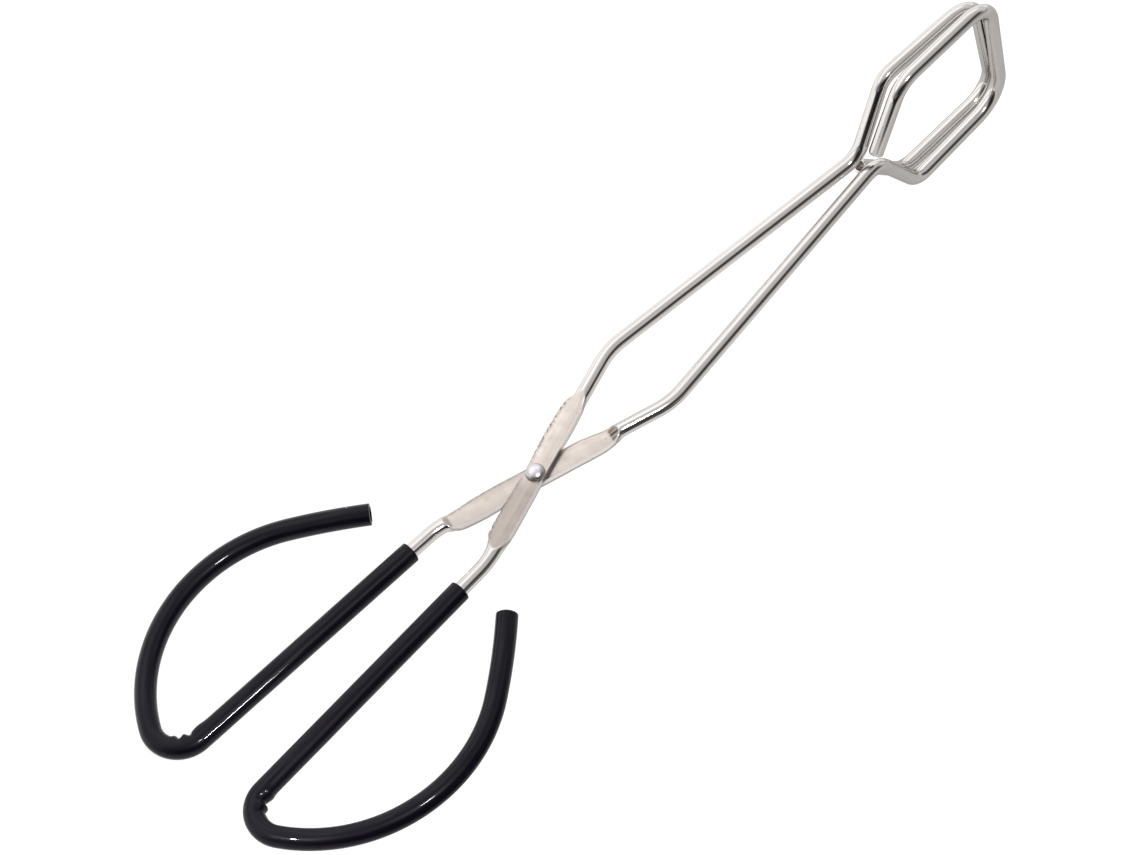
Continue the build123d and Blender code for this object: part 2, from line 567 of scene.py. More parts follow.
@dataclass(frozen=True)
class Sweep:
    """One Geometry Nodes tree that sweeps a section along stations laid out on the bench.

    Sides is how many points go round. Unevenness, grain and seed make the skin wander a little.
    Chips break up the seam's groove. Each span is where something starts and where it is whole:
    nicked and folded by how far a point is to the side, and the others in mm, by how far it is
    past the shelf inside a rounded rim, above the flat, or in from the edge.
    """

    bench: Bench
    sides: int = 72
    unevenness: float = 0.012
    grain: float = 60.0
    grain_detail: float = 2.0
    seed: float = 3.0
    seed_turn: float = 0.6
    rim_softness: float = 0.22
    seam_width: float = 0.6
    chips: tuple = (900.0, 3.0)
    chipping: tuple = (0.3, 0.7, 1.7, 0.5)
    crowding: float = 0.3
    thinnest: float = 0.0001
    nicked: tuple = (0.55, 0.95)
    folded: tuple = (-0.1, 0.9)
    bead_rise: tuple = (-0.55, -0.05)
    bead_fall: tuple = (0.75, 0.15)
    face_span: tuple = (-0.05, 0.3)
    dull_span: tuple = (0.2, 0.6)
    satin_span: tuple = (0.4, 0.75)
    wall_height: tuple = (0.8, 0.45)
    wall_inset: tuple = (1.1, 0.9)
    frayed_span: tuple = (1.9, 0.3)

    def tree(self) -> bpy.types.NodeTree:
        """The tree, built once and shared by every piece.

        Returns:
            The tree.
        """
        found = bpy.data.node_groups.get("swept_section")
        if found:
            return found
        tree = bpy.data.node_groups.new("swept_section", "GeometryNodeTree")
        inputs = {
            "Geometry": "Geometry", "Sides": "Int", "Unevenness": "Float", "Grain": "Float",
            "Seed": "Float", "Rim Softness": "Float", "Seam Width": "Float",
            "Fill Ends": "Bool", "Finish": "Material",
        }
        for name, kind in inputs.items():
            tree.interface.new_socket(name, in_out="INPUT", socket_type=f"NodeSocket{kind}")
        tree.interface.new_socket("Geometry", in_out="OUTPUT", socket_type="NodeSocketGeometry")
        g = Graph(tree)
        given = g.node("NodeGroupInput").outputs
        section = SectionShaper(g, given, self)
        shaped = section.marked(section.moved(self._swept(g, given)))
        real = g.node("GeometryNodeRealizeInstances", {"Geometry": shaped}).outputs[0]
        smooth = g.node("GeometryNodeSetShadeSmooth", {"Geometry": real}).outputs[0]
        dressing = {"Geometry": smooth, "Material": given["Finish"]}
        dressed = g.node("GeometryNodeSetMaterial", dressing).outputs[0]
        g.node("NodeGroupOutput", {"Geometry": dressed})
        return tree

    @staticmethod
    def _swept(g: Graph, given: Sockets) -> Socket:
        """Sweeps a unit circle that knows how far round each of its points is.

        Args:
            g: the tree's nodes.
            given: the tree's inputs.

        Returns:
            The swept mesh.
        """
        line = g.node("GeometryNodeMeshToCurve", {"Mesh": given["Geometry"]}).outputs[0]
        circle = g.node("GeometryNodeCurvePrimitiveCircle", {"Resolution": given["Sides"]})
        circle.inputs["Radius"].default_value = 1.0
        factor = g.node("GeometryNodeSplineParameter").outputs["Factor"]
        profile = g.stored(circle.outputs["Curve"], "around", factor)
        sweep = {"Curve": line, "Profile Curve": profile, "Fill Caps": given["Fill Ends"]}
        return g.node("GeometryNodeCurveToMesh", sweep).outputs[0]

    def mesh(self, name: str, stations: Stations, finish: bpy.types.Material,
             looped: bool = False) -> bpy.types.Object:
        """Sweeps the stations and returns the finished piece.

        Args:
            name: the piece's name.
            stations: where the section is swept.
            finish: the piece's material.
            looped: whether the last station meets the first.

        Returns:
            The piece, a plain mesh at the origin.
        """
        line = self._line(name + "_line", stations, looped)
        source = bpy.data.objects.new(name + "_source", line)
        bpy.context.scene.collection.objects.link(source)
        modifier = source.modifiers.new("sweep", "NODES")
        modifier.node_group = self.tree()
        inputs = {
            "Sides": self.sides, "Unevenness": self.unevenness, "Grain": self.grain,
            "Seed": self.seed, "Rim Softness": self.rim_softness, "Seam Width": self.seam_width,
            "Fill Ends": not looped, "Finish": finish,
        }
        for item in modifier.node_group.interface.items_tree:
            if item.in_out == "INPUT" and item.name in inputs:
                modifier[item.identifier] = inputs[item.name]
        mesh = evaluated_mesh(source)
        bpy.data.objects.remove(source)
        bpy.data.meshes.remove(line)
        mesh.name = name
        self._close(mesh)
        piece = bpy.data.objects.new(name, mesh)
        bpy.context.scene.collection.objects.link(piece)
        return piece

    def _line(self, name: str, stations: Stations, looped: bool) -> bpy.types.Mesh:
        """The stations as a line of points that carry their sizes.

        Args:
            name: the line's name.
            stations: the stations.
            looped: whether the last station meets the first.

        Returns:
            The line.
        """
        points = self.bench.points(stations.centre)
        count = len(points)
        ends = [(count - 1, 0)] if looped else []
        line = bpy.data.meshes.new(name)
        line.from_pydata(points.tolist(), [(k, k + 1) for k in range(count - 1)] + ends, [])
        for key in Stations.numbers():
            label = "round_radius" if key == "radius" else key
            layer = line.attributes.new(label, "FLOAT", "POINT")
            layer.data.foreach_set("value", np.array(getattr(stations, key), np.float32))
        rows = {"centre": points}
        for key in Stations.DIRECTIONS:
            rows[key] = self.bench.directions(getattr(stations, key))
        for key, values in rows.items():
            layer = line.attributes.new(key, "FLOAT_VECTOR", "POINT")
            layer.data.foreach_set("vector", values.astype(np.float32).ravel())
        return line

    @staticmethod
    def _close(mesh: bpy.types.Mesh) -> None:
        """Turns the skin's faces outwards and welds the rings that share a place.

        Args:
            mesh: the skin.
        """
        work = bmesh.new()
        work.from_mesh(mesh)
        bmesh.ops.remove_doubles(work, verts=work.verts, dist=WELD)
        if work.calc_volume(signed=True) < 0:
            bmesh.ops.reverse_faces(work, faces=work.faces)
        work.to_mesh(mesh)
        work.free()


class SectionShaper:
    """The nodes that move each point of a swept unit circle to its place on the real section."""

    def __init__(self, g: Graph, given: Sockets, sizes: Sweep) -> None:
        """Lays out the whole section.

        Args:
            g: the tree's nodes.
            given: the tree's inputs.
            sizes: the sweep that the tree belongs to.
        """
        self.g, self.given, self.sizes = g, given, sizes
        self.radius, self.pressed = self.read("round_radius"), self.read("pressed")
        self.around = self.read("around")
        self._turn()
        self._outline()
        self._edges()
        self._relief()

    def read(self, name: str, kind: str = "FLOAT") -> Socket:
        """A named attribute of the stations."""
        found = self.g.node("GeometryNodeInputNamedAttribute", {"Name": name}, data_type=kind)
        return found.outputs["Attribute"]

    def _root_of_rest(self, share: Value) -> Socket:
        """The square root of 1 less a square, never under zero."""
        rest = self.g.minus(1.0, self.g.times(share, share))
        return self.g.maths("SQRT", self.g.larger(rest, 0.0))

    def _turn(self) -> None:
        """Where round the section a point is, crowded towards a pressed tube's thin edges."""
        g = self.g
        even = g.times(self.around, FULL_TURN)
        crowd = g.times(self.pressed, self.sizes.crowding)
        angle = g.minus(even, g.times(crowd, g.maths("SINE", g.times(even, 2.0))))
        self.sine, self.cosine = g.maths("SINE", angle), g.maths("COSINE", angle)
        self.upper = g.maths("GREATER_THAN", self.sine, 0.0)

    def _outline(self) -> None:
        """How far aside and up the plain section reaches, round or pressed flat."""
        g = self.g
        leftward = g.maths("GREATER_THAN", self.cosine, 0.0)
        self.wide = g.mixed(leftward, self.read("right"), self.read("left"))
        self.tall = g.mixed(self.upper, self.read("bottom"), self.read("top"))
        self.round_y = g.times(self.radius, g.size(self.sine))
        self.flat_y = g.maths("SMOOTH_MIN", self.round_y, self.tall, self.given["Rim Softness"])
        edge = self.read("edge")
        self.shelf = g.minus(self.wide, edge)
        cap = self._root_of_rest(g.over(self.flat_y, self.tall))
        rounded = g.plus(self.shelf, g.times(edge, cap))
        arc = g.times(self.radius, self._root_of_rest(g.over(self.flat_y, self.radius)))
        widened = g.plus(arc, g.minus(self.wide, self.radius))
        side_x = g.mixed(self.pressed, widened, rounded)
        cut = self._root_of_rest(g.over(self.tall, self.radius))
        share = g.over(g.size(self.cosine), g.larger(cut, self.sizes.thinnest))
        self.bare_x = g.times(side_x, g.maths("MINIMUM", share, 1.0))

    def _edges(self) -> None:
        """Bites nicks into the dull edge, raises the other in a bead, and crowns the face."""
        g, sizes = self.g, self.sizes
        self.on_dull = g.maths("GREATER_THAN", g.times(self.cosine, self.read("dull_side")), 0.0)
        rim = g.ranged(g.size(self.cosine), *sizes.nicked, smooth=True)
        self.bitten = g.minus(self.bare_x, g.times(self.read("nick"), rim, self.on_dull))
        past = g.minus(self.bitten, self.shelf)
        rise = g.ranged(past, *sizes.bead_rise, smooth=True)
        crest = g.times(rise, g.ranged(past, *sizes.bead_fall, smooth=True))
        bead = g.mixed(self.upper, self.read("under_bead"), self.read("bead"))
        raised = g.times(bead, crest, g.minus(1.0, self.on_dull))
        self.place = g.times(self.bitten, g.maths("SIGN", self.cosine))
        self.off_ridge = g.minus(self.place, self.read("ridge"))
        share = g.over(self.off_ridge, self.wide)
        flatness = g.over(self.flat_y, self.tall)
        slump = g.times(self.read("crown"), flatness, g.times(share, share))
        full_y = g.minus(g.plus(self.flat_y, raised), slump)
        self.height = g.times(full_y, g.maths("SIGN", self.sine))

    def _relief(self) -> None:
        """How far the skin swells in a fold, wanders, and sinks in the seam's groove."""
        g, sizes, given = self.g, self.sizes, self.given
        centre = self.read("centre", "FLOAT_VECTOR")
        hand = g.ranged(self.cosine, *sizes.folded, smooth=True)
        swell = g.times(self.read("fold"), hand)
        off_seam = g.minus(self.around, self.read("seam_place"))
        away = g.size(g.maths("WRAP", off_seam, 0.5, -0.5))
        chipped = g.ranged(g.noise(centre, *sizes.chips), *sizes.chipping)
        millimetres = g.times(away, chipped, g.times(self.radius, FULL_TURN))
        groove = g.ranged(millimetres, 0.0, given["Seam Width"], 1.0, 0.0, smooth=True)
        self.sink = g.times(groove, self.read("seam_depth"))
        turned = g.plus(given["Seed"], g.times(sizes.seed_turn, self.sine))
        grain = {"Vector": centre, "W": turned, "Scale": given["Grain"],
                 "Detail": sizes.grain_detail}
        noise = g.node("ShaderNodeTexNoise", grain, noise_dimensions="4D").outputs[0]
        uneven = g.times(g.minus(noise, 1.0), given["Unevenness"])
        self.grown = g.minus(g.plus(swell, uneven), self.sink)

    def moved(self, swept: Socket) -> Socket:
        """The swept skin with every point in its place.

        Args:
            swept: the swept circle.

        Returns:
            The moved skin.
        """
        g = self.g
        x = g.plus(self.place, g.times(self.cosine, self.grown))
        y = g.plus(self.height, g.times(self.sine, self.grown))
        across = g.scaled(self.read("side", "FLOAT_VECTOR"), g.times(x, MM))
        upward = g.scaled(self.read("up", "FLOAT_VECTOR"), g.times(y, MM))
        target = g.added(self.read("centre", "FLOAT_VECTOR"), g.added(across, upward))
        moves = {"Geometry": swept, "Position": target}
        return g.node("GeometryNodeSetPosition", moves).outputs[0]

    def marked(self, skin: Socket) -> Socket:
        """The skin with the attributes that the finishes read.

        Args:
            skin: the moved skin.

        Returns:
            The skin, which also knows its own places in mm.
        """
        g, sizes = self.g, self.sizes
        bright = g.minus(1.0, self.on_dull)
        face = g.ranged(g.minus(self.round_y, self.tall), *sizes.face_span, smooth=True)
        inset = g.minus(self.wide, self.bitten)
        within = g.ranged(inset, *sizes.satin_span, smooth=True)
        inner = g.times(face, g.mixed(self.on_dull, within, 1.0))
        lifted = g.ranged(self.flat_y, *sizes.dull_span, smooth=True)
        dull = g.times(self.pressed, self.on_dull, lifted)
        # Where a blade's low bright wall takes its painted shade.
        low = g.ranged(self.height, *sizes.wall_height, smooth=True)
        outside = g.times(low, g.ranged(inset, *sizes.wall_inset))
        on_wall = g.times(self.pressed, bright, outside)
        frayed = g.ranged(inset, *sizes.frayed_span, smooth=True)
        marks = {
            "satin": g.larger(inner, dull),
            "groove": self.sink,
            # The ramps' darkening, and the painted shade on a blade's wall.
            "sooty": g.larger(g.times(self.read("grime"), face),
                              g.times(self.read("wall_grime"), on_wall)),
            "frayed": g.times(self.read("ragged"), self.on_dull, frayed),
            "shade": g.times(self.read("fall"), g.times(self.off_ridge, self.off_ridge)),
        }
        for name, value in marks.items():
            skin = g.stored(skin, name, value)
        x, y = g.times(self.cosine, self.radius), g.times(self.sine, self.radius)
        places = g.node("ShaderNodeCombineXYZ", {0: x, 1: y, 2: self.read("length")}).outputs[0]
        return g.stored(skin, "skin", places, "FLOAT_VECTOR")


def evaluated_mesh(piece: bpy.types.Object) -> bpy.types.Mesh:
    """Works out a piece's mesh with its modifiers.

    Args:
        piece: the piece.

    Returns:
        A plain mesh.
    """
    bpy.context.view_layer.update()
    seen = piece.evaluated_get(bpy.context.evaluated_depsgraph_get())
    return bpy.data.meshes.new_from_object(seen)


class Half(Enum):
    """The two alike halves; the lower one lies turned over about X."""

    UPPER = "upper"
    LOWER = "lower"

    @property
    def body(self) -> str:
        """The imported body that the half's pieces ride on."""
        return f"{self.value}_half"

    @property
    def flip(self) -> np.ndarray:
        """What the half's own directions are multiplied by on the bench."""
        return np.array((1, -1, -1) if self is Half.LOWER else (1, 1, 1))

    def laid(self, stations: Stations, lift: float) -> Stations:
        """Lays a half's stations on the bench.

        Args:
            stations: the half's stations, flat about its own tube.
            lift: how far the half is lifted for the two blades just to pass.

        Returns:
            The same stations, laid.
        """
        stations.centre = (stations.centre + (0, 0, lift)) * self.flip
        stations.side = stations.side * self.flip
        stations.up = stations.up * self.flip
        return stations


@dataclass(frozen=True)
class Pressing:
    """A pressed blade's section along it, by the reach from the rivet, minus at the handle, in mm.

    Each row of outline is a reach and how far the blade stands out left and right of the tube's
    axis; each row of faces is a reach and how high its top and bottom faces are. Edge is how far
    in the rim is rounded, crown how much the faces fall towards the edges, and ridge where they
    are highest. The other rows give the finish along the blade: its tarnish, how fast it darkens
    away from the ridge, how dark its ramps are and how much painted shade its wall carries. A
    nick has a reach, a width and a depth.
    """

    outline: tuple
    faces: tuple
    edge: float
    bead: float
    under_bead: float
    crown: float
    ridge: tuple
    fall: tuple
    dull_side: int
    tarnish: tuple
    grime: tuple
    wall_grime: tuple
    ragged: tuple
    nicks: tuple

    FINISH = ("ridge", "fall", "tarnish", "grime", "wall_grime", "ragged")

    @classmethod
    def upper(cls) -> "Pressing":
        """The blade that lies on top."""
        return cls(
            outline=((-37, 2.75, 2.75), (-33, 3.1, 2.85), (-30, 3.9, 3.2), (-28, 5.15, 3.65),
                     (-24, 5.35, 3.8), (-10, 5.1, 3.7), (0, 4.9, 3.45), (4, 5.05, 3.45),
                     (12, 5.45, 3.5), (20, 5.45, 3.7), (26, 5.3, 3.5), (28, 5.15, 3.4),
                     (30, 4.7, 3.05), (32, 3.6, 2.75), (34, 2.85, 2.7), (36, 2.75, 2.75)),
            faces=((-37, 3.4, 3.4), (-34, 2.75, 2.75), (-27, 1, 1), (28, 1, 1),
                   (36, 2.75, 2.75), (38, 3.4, 3.4)),
            edge=1.0,
            bead=0.16,
            under_bead=0.0,
            crown=0.24,
            ridge=((-30, 1.8), (0, 2.2), (30, 2.4)),
            fall=((-30, 0.008), (0, 0.011), (30, 0.008)),
            dull_side=1,
            tarnish=((-35, 1), (-8, 0.95), (1, 0.1), (20, 0), (50, 0)),
            grime=((0, 0), (50, 0)),
            # Painted shade on the wall beside the lower blade, where the gap between the blades is
            # shaded.
            wall_grime=((-2.6, 0), (-1.4, 0.9), (11.5, 1), (13.2, 0)),
            ragged=((-34, 0.2), (-28, 0.6), (-20, 0.45), (0, 0.3), (7, 0.6), (12, 1), (29, 1),
                    (33, 0)),
            nicks=((9.5, 0.4, 0.12), (11.0, 0.3, 0.15), (13.1, 0.5, 0.12), (15.2, 0.3, 0.16),
                   (17.0, 0.4, 0.1), (19.1, 0.3, 0.18), (21.2, 0.5, 0.14), (23.0, 0.3, 0.2),
                   (24.6, 0.4, 0.14), (26.7, 0.3, 0.22), (28.6, 0.5, 0.2), (-26.0, 0.8, 0.35),
                   (-22.5, 0.4, 0.15)),
        )

    @classmethod
    def lower(cls) -> "Pressing":
        """The blade that lies underneath."""
        return cls(
            outline=((-42, 2.75, 2.75), (-37, 3.1, 2.55), (-35, 4.4, 2.5), (-33, 5.5, 2.6),
                     (-30, 6.0, 2.85), (-26, 6.2, 3.3), (-22, 6.2, 3.65), (-14, 5.8, 3.9),
                     (0, 5.5, 3.85), (8, 5.5, 3.9), (16, 5.4, 4.1), (20, 5.45, 4.05),
                     (24, 5.4, 3.5), (26, 5.25, 3.2), (28, 4.95, 2.9), (30, 4.4, 2.75),
                     (32, 3.7, 2.75), (34, 2.8, 2.75), (36, 2.75, 2.75)),
            faces=((-39, 3.4, 3.4), (-37, 2.75, 2.75), (-34.6, 1, 1), (29.8, 1, 1),
                   (33.7, 2.75, 2.75), (35, 3.4, 3.4)),
            edge=1.3,
            bead=0.10,
            under_bead=0.10,
            crown=0.16,
            ridge=((-30, 0.6), (0, 0.4), (30, -0.6)),
            fall=((-30, 0.018), (-8, 0.018), (10, 0.012), (30, 0.008)),
            dull_side=-1,
            tarnish=((-30, 0.4), (-5, 0.4), (5, 0.25), (30, 0.2)),
            # Darker on the ramps at both ends of the blade.
            grime=((-38, 0), (-36.8, 0.35), (-34.9, 0.35), (-34.4, 0), (29.4, 0), (30.1, 1),
                   (33.5, 1), (34.5, 0)),
            # Painted shade on the bright wall towards the handle.
            wall_grime=((-34, 0), (-31, 0.22), (-18, 0.22), (-14, 0.1), (0, 0)),
            ragged=((-34, 0.3), (-26, 0.6), (-10, 0.5), (12, 0.25), (30, 0.1)),
            nicks=((22.0, 0.8, 0.12), (-21.0, 0.6, 0.12), (-29.0, 0.7, 0.15)),
        )


@dataclass
class BladeShape:
    """Where the flat lies that is pressed into a tube about the rivet, in mm."""

    half: float = 33.5
    angle: float = 17.4
    offset: float = 0.8
    room: float = 0.65
    lift: float = 1.05
    reach: float = 45.0
    flat_until: float = 1.35
    outline_soft: float = 0.9
    face_soft: float = 0.25
    finish_soft: float = 0.3

    @property
    def along(self) -> np.ndarray:
        """The blade's direction in its own half."""
        turn = math.radians(self.angle)
        return np.array((math.cos(turn), math.sin(turn), 0))

    @property
    def across(self) -> np.ndarray:
        """The direction across the blade in its own half."""
        along = self.along
        return np.array((-along[1], along[0], 0))

    def axis(self, along: float) -> np.ndarray:
        """A point of the tube's axis beside the blade."""
        return self.along * along - self.across * self.offset

    def pressed(self, stations: Stations, reach: np.ndarray, pressing: Pressing) -> None:
        """Presses the flat into a tube's stations.

        Args:
            stations: the tube's stations.
            reach: how far along the tube each is from the rivet, minus towards the handle.
            pressing: the blade's section along its length.
        """
        tube = float(stations.radius.max())
        near = np.abs(reach) < self.reach

        def read(rows: tuple, column: int, soft: float, beyond: float) -> np.ndarray:
            """A column of the rows at each station, and what holds beyond the blade."""
            places, heights = np.array(rows)[:, 0], np.array(rows)[:, column]
            return np.where(near, soft_line(reach, places, heights, soft), beyond)

        for column, name in enumerate(("left", "right"), 1):
            setattr(stations, name, read(pressing.outline, column, self.outline_soft, tube))
        for column, name in enumerate(("top", "bottom"), 1):
            shape = read(pressing.faces, column, self.face_soft, tube + self.room)
            setattr(stations, name, shape)
        for name in pressing.FINISH:
            setattr(stations, name, read(getattr(pressing, name), 1, self.finish_soft, 0))
        lowest = np.minimum(stations.top, stations.bottom)
        stations.pressed = 1 - smooth_step(lowest, self.flat_until, tube)
        for name in ("bead", "under_bead", "crown"):
            setattr(stations, name, getattr(pressing, name) * stations.pressed)
        stations.edge = np.full(len(reach), pressing.edge)
        stations.dull_side = np.full(len(reach), float(pressing.dull_side))
        for middle, width, depth in pressing.nicks:
            stations.nick = stations.nick + depth * bump(reach, middle, width)


@dataclass
class HandleBends:
    """A handle's centre line from the blade's back end: neck, grip, heel, bow and hook, in mm."""

    neck_radius: float = 36.0
    neck_angle: float = 15.4
    grip_run: float = 109.7
    heel_radius: float = 10.8
    heel_angle: float = 117.6
    bow_radius: float = 61.0
    bow_angle: float = 94.7
    hook_radius: float = 250.0

    def line(self, blade: BladeShape, hook_run: float, step: float, skip: float = 0.0,
             overhang: float = 0.0) -> np.ndarray:
        """The centre line.

        Args:
            blade: the blade it starts from.
            hook_run: the length of the last run.
            step: the points' spacing.
            skip: where on the grip the line starts, or 0 for the whole line from the blade.
            overhang: how far it runs on, past the tube's end.

        Returns:
            The points, from the blade outwards.
        """
        bender = TubeBender(blade.axis(-blade.half), blade.angle + 180, step)
        bender.bend(self.neck_radius, -self.neck_angle)
        if skip > 0:
            bender.feed(skip)
            bender.points = bender.points[-1:]
        bender.feed(self.grip_run - skip)
        bender.bend(self.heel_radius, self.heel_angle)
        bender.bend(self.bow_radius, self.bow_angle)
        bender.bend(self.hook_radius, math.degrees(hook_run / self.hook_radius))
        if overhang > 0:
            bender.feed(overhang)
        return np.array(bender.points)


@dataclass
class JawLoop:
    """A jaw's centre line: shoulder, foot, once round the five-sided loop and the tail, in mm."""

    shoulder_reach: float = 55.0
    shoulder_radius: float = 28.0
    foot_aside: float = 3.0
    foot_radius: float = 11.0
    wide_reach: float = 186.7
    wide_rise: float = 29.2
    wide_aside: float = 4.0
    wide_radius: float = 8.0
    tip_reach: float = 233.1
    tip_rise: float = 28.0
    tip_aside: float = 2.9
    tip_bend_radius: float = 14.0
    return_tip_reach: float = 234.6
    return_tip_drop: float = 32.0
    return_tip_radius: float = 12.0
    return_wide_reach: float = 188.0
    return_wide_drop: float = 34.1
    return_wide_radius: float = 11.0
    tail_lead: float = 0.3
    tail_drop: float = 6.2

    def line(self, blade: BladeShape, foot_reach: float, step: float) -> np.ndarray:
        """The centre line from the blade's front end to the cut tail.

        Args:
            blade: the blade it starts from.
            foot_reach: how far the loop's foot is from the rivet.
            step: the points' spacing.

        Returns:
            The points.
        """
        corners = [
            blade.axis(blade.half),
            blade.axis(self.shoulder_reach),
            (foot_reach, self.foot_aside, 0),
            (self.wide_reach, self.wide_aside, self.wide_rise),
            (self.tip_reach, self.tip_aside, self.tip_rise),
            (self.return_tip_reach, self.tip_aside, -self.return_tip_drop),
            (self.return_wide_reach, self.wide_aside, -self.return_wide_drop),
            (foot_reach + self.tail_lead, self.foot_aside, -self.tail_drop),
        ]
        radii = [self.shoulder_radius, self.foot_radius, self.wide_radius,
                 self.tip_bend_radius, self.return_tip_radius, self.return_wide_radius]
        return rounded_corners(corners, radii, step)


@dataclass
class SweptPiece:
    """A piece that is one swept skin and rides with one of the halves."""

    half: Half

    KIND = ""
    SLOT = ""
    LOOPED = False

    @property
    def name(self) -> str:
        """The node that the piece stands for."""
        return f"{self.half.value}_{self.KIND}"

    def stations(self) -> Stations:
        """Where the section is swept, which each kind of piece says for itself."""
        raise NotImplementedError

    def drill(self, piece: bpy.types.Object, sweep: Sweep, finish: bpy.types.Material) -> None:
        """Drills the piece, where its kind has a hole."""

    def build(self, sweep: Sweep, finish: bpy.types.Material) -> bpy.types.Object:
        """Sweeps the piece, drills it and sets it in its place.

        Args:
            sweep: the section's sweep.
            finish: the piece's material.

        Returns:
            The piece.
        """
        piece = sweep.mesh(self.name, self.stations(), finish, self.LOOPED)
        self.drill(piece, sweep, finish)
        dress(piece, self.half.body, self.name)
        return piece


@dataclass
class TubeArm(SweptPiece):
    """One arm: a tube bent into a handle and a jaw loop, with the blade pressed flat between."""

    hook_run: float
    foot_reach: float
    pressing: Pressing
    seam_facing: tuple = (-0.3, -0.95, 0.0)
    seam_from: float = 0.0
    seam_until: float = 0.0
    seam_depth: float = 0.5
    seam_fade: float = 4.0
    tube_radius: float = 2.75
    bore_radius: float = 1.75
    bore_depths: tuple = (9.0, 0.5)
    rim: float = 0.22
    rim_bends: tuple = (0, 30, 60, 90)
    hole_radius: float = 2.05
    drill_reach: float = 3.0
    step: float = 1.15
    fine_step: float = 0.3
    ramp_run: float = 8.0
    blade: BladeShape = field(default_factory=BladeShape)
    handle: HandleBends = field(default_factory=HandleBends)
    jaw: JawLoop = field(default_factory=JawLoop)

    KIND = "arm"
    SLOT = "plated_tube"

    def line(self) -> tuple[np.ndarray, np.ndarray]:
        """The arm's centre line from the handle's end to the tail.

        Returns:
            The points, closer together where the blade and its ramps are, and each point's
            reach from the rivet.
        """
        blade = self.blade
        back = self.handle.line(blade, self.hook_run, self.step)[::-1]
        middle = straight(blade.axis(-blade.half), blade.axis(blade.half), self.fine_step)
        front = self.jaw.line(blade, self.foot_reach, self.step)
        points = np.concatenate((back[:-1], np.array(middle), front[1:]))
        steps = np.linalg.norm(np.diff(points, axis=0), axis=1)
        length = np.concatenate(([0], np.cumsum(steps)))
        reach = length - length[len(back) - 1] - blade.half
        last = blade.half + self.ramp_run
        fine = np.arange(-blade.half - self.ramp_run, last, self.fine_step)
        rest = reach[np.abs(reach) > last + self.fine_step]
        marks = np.unique(np.round(np.concatenate((rest, fine)), 4))
        spread = np.stack([np.interp(marks, reach, points[:, k]) for k in range(3)], axis=1)
        return spread, marks

    def stations(self) -> Stations:
        """The arm's stations, with its open ends, its seam and its flat.

        Returns:
            The stations on the bench.
        """
        points, reach = self.line()
        made = Stations.along(points, self.tube_radius)
        self.blade.pressed(made, reach, self.pressing)
        made.seam_place = self._seam(made)
        begun = smooth_step(reach, self.seam_from, self.seam_from + self.seam_fade)
        over = smooth_step(reach, self.seam_until - self.seam_fade, self.seam_until)
        made.seam_depth = self.seam_depth * begun * (1 - over)
        whole = made.opened(self.rim, self.bore_radius, self.rim_bends, self.bore_depths)
        return self.half.laid(whole, self.blade.lift)

    def _seam(self, made: Stations) -> np.ndarray:
        """Where round the tube its seam lies, for it to face one way all along.

        Args:
            made: the tube's stations.

        Returns:
            The share of a turn at each station.
        """
        facing = np.array(self.seam_facing) * self.half.flip
        turn = np.arctan2(made.up @ facing, made.side @ facing)
        return np.mod(turn / FULL_TURN, 1)

    def drill(self, piece: bpy.types.Object, sweep: Sweep, finish: bpy.types.Material) -> None:
        """Drills the rivet's hole through the blade.

        Args:
            piece: the swept arm.
            sweep: the section's sweep.
            finish: the tube's material.
        """
        middle = self.blade.lift * self.half.flip[2]
        heights = np.array((-self.drill_reach, self.drill_reach)) + middle
        pin = Stations.upright(heights, np.full(2, self.hole_radius))
        cutter = sweep.mesh(self.name + "_drill", pin, finish)
        hole = piece.modifiers.new("hole", "BOOLEAN")
        hole.operation, hole.solver, hole.object = "DIFFERENCE", "EXACT", cutter
        old, piece.data = piece.data, evaluated_mesh(piece)
        piece.modifiers.clear()
        bpy.data.meshes.remove(old)
        bpy.data.objects.remove(cutter)
        piece.data.name = self.name


@dataclass
class GripSleeve(SweptPiece):
    """The soft black sleeve drawn over a handle, open at both ends, folded before its heel.

    Each fold has its place along the sleeve, its width and its height, minus for a dip.
    """

    hook_run: float
    folds: tuple
    start: float = 9.0
    overhang: float = 1.2
    radius: float = 4.0
    bore_radius: float = 2.8
    rim: float = 0.3
    rim_bends: tuple = (0, 22, 45, 68, 90)
    step: float = 0.8
    blade: BladeShape = field(default_factory=BladeShape)
    handle: HandleBends = field(default_factory=HandleBends)

    KIND = "grip_sleeve"
    SLOT = "black_sleeve"
    LOOPED = True

    def stations(self) -> Stations:
        """The sleeve's stations: out along its skin and back along its bore.

        Returns:
            The stations on the bench.
        """
        points = self.handle.line(self.blade, self.hook_run, self.step, self.start, self.overhang)
        made = Stations.along(points, self.radius)
        for middle, width, height in self.folds:
            made.fold = made.fold + height * bump(made.length, middle, width)
        back = made.picked(np.arange(len(points) - 2, 0, -1))
        back.rounded(back.radius * 0 + self.bore_radius)
        back.fold = back.fold * 0
        out = made.opened(self.rim, self.bore_radius, self.rim_bends)
        return self.half.laid(Stations.joined([out, back]), self.blade.lift)


